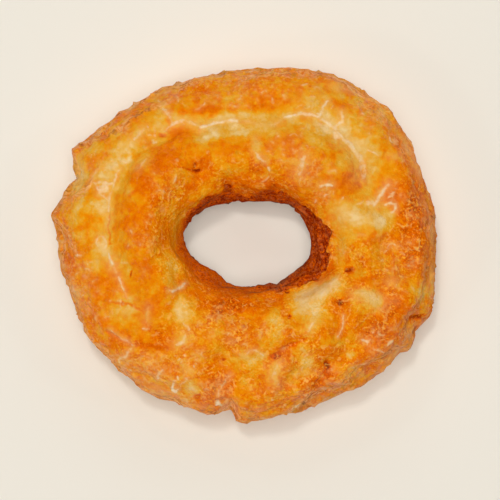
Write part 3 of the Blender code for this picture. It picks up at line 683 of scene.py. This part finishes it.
def top_tone(points, zones, texture):
    """Tone of the top: islands of deeper crust, the chosen patches, and a paler groove."""
    pale = patch_field(zones.wander(*PALE_WANDER), PALE)
    fried = patch_field(zones.wander(*PATCH_WANDER), FRIED)
    islands = smooth_step(-0.20, 0.26, rough_noise(points, 3.0, 3, seed=52)) - 0.5
    tone = TOP_TONE + 0.06 * rough_noise(points, 6.0, 3, seed=51) + 0.12 * islands
    tone += 0.08 * rough_noise(points, 1.5, 2, seed=53)
    tone += 0.06 * texture.crags + FRIED_STEP * fried - PALE_STEP * pale
    tone -= 0.10 * zones.filled * smooth_step(*GROOVE_MIDDLE, zones.groove)
    return np.minimum(tone, TOP_BEND + 0.5 * np.clip(tone - TOP_BEND, 0.0, 1.0))


def crust_tone(points, zones, texture, pit_dark):
    """Tone of the whole crust."""
    deep, under, east = zones.deep, zones.under, zones.east
    tone = top_tone(points, zones, texture)
    tone += (0.60 * (RIM_TONE + 0.10 * zones.far_east - tone) + 0.30 * texture.layers) * zones.band

    # The wall is lighter at the lower left, and a little darker on the right
    brown = WALL_TONE - 0.13 * smooth_step(0.6, 1.8, zones.soft) + 0.03 * smooth_step(0.7, 0.95, east)
    brown -= 0.05 * smooth_step(0.5, 0.9, east) * smooth_step(-1.0, -6.0, zones.plan[:, 1])
    tone = tone * (1.0 - deep) + (brown + 0.20 * texture.crumbs + 0.08 * texture.crags) * deep

    # Pits, the underside, the slope beside the hole and the foot of the side; the slope is a little deeper
    # near the hole's edge and lighter on the hole's left, as painted light that lifts its shade
    tone = tone + (np.maximum(tone, pit_dark) - tone) * smooth_step(0.0, 0.3, pit_dark)
    tone = tone * (1.0 - 0.7 * under) + (UNDER_TONE + 0.10 * texture.crags) * 0.7 * under
    near_break = smooth_step(3.5, 0.0, np.abs(inside_distance(zones.plan, BREAK)))
    tone += (0.08 - 0.20 * smooth_step(-0.3, -0.9, east)) * zones.inner * (1.0 - deep) * near_break
    tone -= FOOT_STEP * smooth_step(13.0, 5.0, points[:, 2]) * (1.0 - under) * (1.0 - deep)
    return np.clip(tone, 0.0, 1.0)


def wet_field(zones, pit_dark):
    """How strongly the glaze shines."""
    wet = np.clip(zones.top * (0.55 + 0.45 * zones.wrinkled) + 0.35 * zones.rim, 0.0, 1.0)
    wet *= (1.0 - smooth_step(0.6, 0.85, pit_dark)) * (1.0 - patch_field(zones.plan, DRY))
    return wet * (1.0 - zones.deep) * (1.0 - zones.inner * smooth_step(0.9, 0.5, zones.up))


def shape_crust(piece):
    """Relief of the crust, and the fields that colour it."""
    mesh = piece.data
    points, normals = mesh_arrays(mesh)
    zones = Zones(points, normals)
    points, pools = softened(piece, points, normals, zones)
    texture = Texture(points, zones)
    milk_and_glints = milk_field(zones.wander(*MILK_WANDER)) * smooth_step(0.0, 0.4, zones.up)
    milk_and_glints = milk_and_glints * (1.0 + 0.3 * lump_noise(points, 1.6, seed=75))
    smooth = np.clip(0.8 * zones.filled + 0.6 * pools + milk_and_glints, 0.0, 1.0)
    height = relief(points, zones, texture, smooth, milk_and_glints)
    pit_dark = cut_pits(height, zones)
    foot = smooth_step(0.3, 2.5, points[:, 2])
    points = fit_box(points + normals * (height * foot)[:, None])
    set_points(mesh, points)

    level = points[:, 2]
    inner, up = zones.inner, zones.up
    rim_shown = (1.0 - 0.6 * zones.far_east) * (0.3 + 0.7 * smooth_step(9.0, 16.0, level))
    fields = {
        "tone": crust_tone(points, zones, texture, pit_dark),
        # Painted shade where the hole's wall faces down or comes near the floor
        "hole_shade": inner * np.maximum(smooth_step(0.10, -0.10, up), smooth_step(6.0, 3.0, level)),
        "rim": zones.band * rim_shown,
        "deep": zones.deep,
        "milk_and_glints": np.clip(milk_and_glints, 0.0, 1.0),
        "smooth": smooth,
        "wrinkled": zones.wrinkled * zones.top,
        "wet": wet_field(zones, pit_dark),
        "keep": np.clip(zones.top + 0.55 * zones.side * smooth_step(2.0, 8.0, level), 0.0, 1.0),
    }
    for name, values in fields.items():
        layer = mesh.attributes.new(name, "FLOAT", "POINT")
        layer.data.foreach_set("value", values.astype(np.float32))


def colour(red, green, blue):
    """A linear colour from 8-bit display values."""
    values = [v / 255.0 for v in (red, green, blue)]
    return tuple(v / 12.92 if v <= 0.04045 else ((v + 0.055) / 1.055) ** 2.4 for v in values) + (1.0,)


CRUST_TONES = (
    (0.00, colour(238, 204, 142)),
    (0.16, colour(232, 184, 98)),
    (0.30, colour(232, 165, 40)),
    (0.44, colour(235, 146, 8)),
    (0.56, colour(233, 124, 0)),
    (0.68, colour(225, 103, 0)),
    (0.80, colour(203, 86, 0)),
    (0.90, colour(160, 54, 3)),
    (1.00, colour(122, 30, 3)),
)
# Light strokes on the film's wrinkles: thin milky glaze with painted highlight
STROKE_MILK_AND_HIGHLIGHT = colour(254, 194, 98)
LIGHT_DOT = colour(252, 178, 50)
# Rim: a pink blush, partly its own paler colour and partly painted sheen and painted light; pale painted
# highlight streaks; brown streaks
RIM_BLUSH_AND_SHEEN = colour(250, 172, 100)
RIM_HIGHLIGHT = colour(254, 194, 128)
RIM_DARK = colour(146, 66, 20)
WALL_CRUMB = colour(196, 104, 52)
# Painted shade low in the hole
HOLE_SHADE = colour(110, 80, 58)
THIN_MILK = colour(236, 186, 112)
# Thick milky glaze, and the colour of the painted glints
THICK_MILK_AND_GLINT = colour(245, 222, 186)
FLOOR = colour(236, 230, 217)


class Nodes:
    """Short forms for building a material's node tree."""

    def __init__(self, name):
        self.material = bpy.data.materials.new(name)
        self.material.use_nodes = True
        self.tree = self.material.node_tree
        self.shader = self.tree.nodes["Principled BSDF"]

    def feed(self, node, inputs):
        """Sets numbers on a node's inputs, by name or place, and links outputs to them."""
        for key, value in dict(inputs).items():
            if isinstance(value, (int, float, tuple)):
                node.inputs[key].default_value = value
            else:
                self.tree.links.new(value, node.inputs[key])

    def add(self, kind, inputs=(), **settings):
        node = self.tree.nodes.new(kind)
        for key, value in settings.items():
            setattr(node, key, value)
        self.feed(node, inputs)
        return node

    def math(self, operation, *values, clamp=False):
        node = self.add("ShaderNodeMath", enumerate(values), operation=operation, use_clamp=clamp)
        return node.outputs[0]

    def plus(self, first, second, clamp=False):
        return self.math("ADD", first, second, clamp=clamp)

    def times(self, first, second):
        return self.math("MULTIPLY", first, second)

    def rest(self, value, clamp=False):
        """What is left of 1."""
        return self.math("SUBTRACT", 1.0, value, clamp=clamp)

    def scaled(self, value, factor, offset=0.0):
        return self.math("MULTIPLY_ADD", value, factor, offset)

    def spread(self, value, low, high, most=1.0):
        """From 0 where the value is low to most where it is high."""
        inputs = {"Value": value, "From Min": low, "From Max": high, "To Max": most}
        return self.add("ShaderNodeMapRange", inputs).outputs[0]

    def field(self, name):
        return self.add("ShaderNodeAttribute", attribute_name=name).outputs["Fac"]

    def place(self):
        return self.add("ShaderNodeTexCoord").outputs["Object"]

    def noise(self, size_mm, detail=2.0, roughness=0.5, distortion=0.0, place=None):
        inputs = {"Vector": place or self.place(), "Scale": 1.0 / (size_mm * MM), "Detail": detail,
                  "Roughness": roughness, "Distortion": distortion}
        return self.add("ShaderNodeTexNoise", inputs).outputs["Fac"]

    def vector(self, operation, *values):
        node = self.add("ShaderNodeVectorMath", enumerate(values), operation=operation)
        return node.outputs["Value" if operation == "LENGTH" else "Vector"]

    def streaks(self, size_mm):
        """Noise drawn out along the rim, quick only down and across its edge."""
        place = self.place()
        flat = self.vector("MULTIPLY", place, (1.0, 1.0, 0.0))
        around = self.vector("MULTIPLY", self.vector("NORMALIZE", flat), (12.0 * MM,) * 3)
        level = self.add("ShaderNodeSeparateXYZ", {0: place}).outputs["Z"]
        across = self.plus(self.scaled(level, 1.9), self.scaled(self.vector("LENGTH", flat), 1.6))
        depth = self.add("ShaderNodeCombineXYZ", {"Z": across}).outputs[0]
        return self.noise(size_mm, 3.0, 0.6, 0.4, self.vector("ADD", around, depth))

    def ramp(self, value, stops):
        node = self.add("ShaderNodeValToRGB", {"Fac": value})
        elements = node.color_ramp.elements
        while len(elements) < len(stops):
            elements.new(0.5)
        for element, stop in zip(elements, stops):
            element.position, element.color = stop
        return node.outputs["Color"]

    def mix(self, amount, first, second):
        return self.add("ShaderNodeMix", {0: amount, 6: first, 7: second}, data_type="RGBA").outputs[2]

    def bump(self, height, strength, distance_mm):
        inputs = {"Height": height, "Strength": strength, "Distance": distance_mm * MM}
        return self.add("ShaderNodeBump", inputs).outputs[0]


def rim_sheen_and_wall_shade(nodes, base, deep):
    """Along the rim a pink blush, partly its own paler colour and partly painted sheen and light, painted
    highlight streaks and brown streaks; light crumbs on the wall of the hole; painted shade low in the
    hole.
    """
    rim = nodes.field("rim")
    streaks = nodes.streaks(1.0)
    # Pink blush with painted sheen, then painted highlight streaks, then brown streaks along the rim
    base = nodes.mix(nodes.times(rim, 0.20), base, RIM_BLUSH_AND_SHEEN)
    base = nodes.mix(nodes.times(rim, nodes.spread(streaks, 0.50, 0.43, 0.65)), base, RIM_HIGHLIGHT)
    base = nodes.mix(nodes.times(rim, nodes.spread(streaks, 0.54, 0.62, 0.7)), base, RIM_DARK)
    crumbs = nodes.times(deep, nodes.spread(nodes.noise(1.0, 3.0, 0.6), 0.48, 0.64, 0.6))
    base = nodes.mix(crumbs, base, WALL_CRUMB)
    # Painted shade on the hole's wall where it faces down and near the floor
    return nodes.mix(nodes.field("hole_shade"), base, HOLE_SHADE)


def milky_and_glints(nodes, base):
    """Broken milky colour of threads, smears and spots, and of the painted glints among them."""
    broken = nodes.scaled(nodes.spread(nodes.noise(0.8), 0.36, 0.60), 0.30, 0.70)
    milk_and_glints = nodes.times(nodes.field("milk_and_glints"), broken)
    base = nodes.mix(nodes.spread(milk_and_glints, 0.0, 0.6, 0.6), base, THIN_MILK)
    return nodes.mix(nodes.spread(milk_and_glints, 0.4, 1.0, 0.8), base, THICK_MILK_AND_GLINT)


def crust_material():
    """Fried dough under glaze: cream to deep orange, brown pits, milky strokes and a wet skin, with painted
    highlights on the film's wrinkles and on the rim, painted sheen on the rim and painted shade low in the
    hole.
    """
    nodes = Nodes("crust")
    grain = nodes.noise(1.1, 3.0, 0.6)
    speck = nodes.noise(0.45, 2.0, 0.6)
    wrinkled = nodes.field("wrinkled")
    deep = nodes.field("deep")
    above = nodes.rest(deep)

    # How busy the fine pattern is
    patches = nodes.spread(nodes.noise(3.5), 0.40, 0.62, 0.5)
    amount = nodes.plus(nodes.plus(patches, nodes.scaled(wrinkled, 0.3, 0.25)), nodes.scaled(deep, 0.3))
    amount = nodes.times(nodes.rest(nodes.field("smooth")), amount)

    tone = nodes.plus(nodes.field("tone"), nodes.scaled(grain, 0.26, -0.13))
    tone = nodes.plus(tone, nodes.times(nodes.scaled(speck, 0.88, -0.44), amount), clamp=True)
    base = nodes.ramp(tone, CRUST_TONES)
    # Light strokes on the crests of the film's wrinkles: thin milky glaze and painted highlight
    bends = nodes.math("ABSOLUTE", nodes.scaled(nodes.noise(2.4), 1.0, -0.5))
    curls = nodes.rest(nodes.scaled(bends, 16.0), clamp=True)
    strokes = nodes.times(nodes.times(curls, nodes.spread(nodes.noise(1.3, 1.0), 0.48, 0.60, 0.8)), above)
    base = nodes.mix(nodes.times(strokes, amount), base, STROKE_MILK_AND_HIGHLIGHT)
    base = rim_sheen_and_wall_shade(nodes, base, deep)
    dots = nodes.times(nodes.times(nodes.spread(nodes.noise(0.6, 1.0), 0.56, 0.68, 0.8), amount), above)
    base = milky_and_glints(nodes, nodes.mix(dots, base, LIGHT_DOT))

    patchy = nodes.spread(nodes.noise(2.2, 2.0, 0.6), 0.36, 0.56)
    waves = nodes.plus(nodes.plus(curls, nodes.noise(1.3)), nodes.times(speck, 0.8))
    nodes.feed(nodes.shader, {
        "Base Color": base,
        "Roughness": 0.5,
        "Specular IOR Level": 0.0,
        "Subsurface Weight": 0.12,
        "Subsurface Radius": (3.0 * MM, 1.0 * MM, 0.3 * MM),
        "Subsurface Scale": 1.0,
        "Coat Weight": nodes.times(nodes.field("wet"), patchy),
        "Coat Roughness": 0.08,
        "Coat IOR": 1.55,
        "Normal": nodes.bump(nodes.plus(grain, nodes.times(speck, 0.5)), 0.8, 0.35),
        "Coat Normal": nodes.bump(waves, nodes.scaled(wrinkled, 0.6, 0.4), 0.4),
    })
    return nodes.material


def make_floor():
    bpy.ops.mesh.primitive_plane_add(size=4.0, location=(0.0, 0.0, 0.0))
    floor = bpy.context.object
    floor.name = "floor"
    nodes = Nodes("floor")
    nodes.feed(nodes.shader, {"Base Color": FLOOR, "Roughness": 0.6, "Specular IOR Level": 0.2})
    floor.data.materials.append(nodes.material)


# Small lamps that glint in the glaze, and large ones that fill: azimuth, elevation and power
WINDOWS = {"window_west": (305, 45, 0.40), "window_east": (95, 45, 0.36), "window_north": (200, 52, 0.40)}
SIDES = ((350, 32, 4.4), (295, 32, 2.5), (125, 32, 2.2), (180, 32, 2.9))


def area_light(name, azimuth, elevation, power, distance, size, glints=False):
    """A square lamp aimed at the doughnut, in metres; azimuth 0 is on the -Y side."""
    lamp = bpy.data.lights.new(name, "AREA")
    lamp.size = size
    lamp.energy = power
    holder = bpy.data.objects.new(name, lamp)
    a, e = math.radians(azimuth), math.radians(elevation)
    direction = np.array((math.sin(a) * math.cos(e), -math.cos(a) * math.cos(e), math.sin(e)))
    holder.location = direction * distance
    holder.rotation_euler = (math.radians(90) - e, 0.0, a)
    holder.visible_glossy = glints
    scene.collection.objects.link(holder)
    return lamp


def make_light():
    """A key lamp behind the doughnut, an overhead softbox, windows, fill lamps and a dim world."""
    area_light("key", 197, 74, 2.0, distance=1.0, size=0.10)
    area_light("softbox", 0, 90, 5.75, distance=1.2, size=0.6)
    for name, aim in WINDOWS.items():
        area_light(name, *aim, distance=1.2, size=0.07, glints=True)
    for aim in SIDES:
        area_light("side_%03d" % aim[0], *aim, distance=1.3, size=0.8).use_shadow = False
    world = bpy.data.worlds.new("studio")
    scene.world = world
    world.use_nodes = True
    background = world.node_tree.nodes["Background"]
    background.inputs["Color"].default_value = (1.0, 1.0, 1.0, 1.0)
    background.inputs["Strength"].default_value = 0.05
    world.cycles_visibility.glossy = False


# Camera: width of the view at the doughnut's widest level, that level, and the view's middle
VIEW_WIDTH, WIDEST_LEVEL = 116.0, 12.0
VIEW_MIDDLE = (1.28, -1.04)
CAMERA_DISTANCE = 520.0


def make_camera():
    """Straight above, framed as the photograph."""
    data = bpy.data.cameras.new("camera")
    camera = bpy.data.objects.new("camera", data)
    data.sensor_width = 36.0
    data.lens = data.sensor_width * CAMERA_DISTANCE / VIEW_WIDTH
    camera.location = (VIEW_MIDDLE[0] * MM, VIEW_MIDDLE[1] * MM, (WIDEST_LEVEL + CAMERA_DISTANCE) * MM)
    scene.collection.objects.link(camera)
    scene.camera = camera


crust = fine_copy(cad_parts["doughnut"], "crust")
shape_crust(crust)
thin_out(crust, "keep")
crust.data.shade_smooth()
crust.data.materials.clear()
crust.data.materials.append(crust_material())
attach(crust, "root")
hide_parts("doughnut")

make_floor()
make_light()
make_camera()
scene.view_settings.view_transform = "Standard"
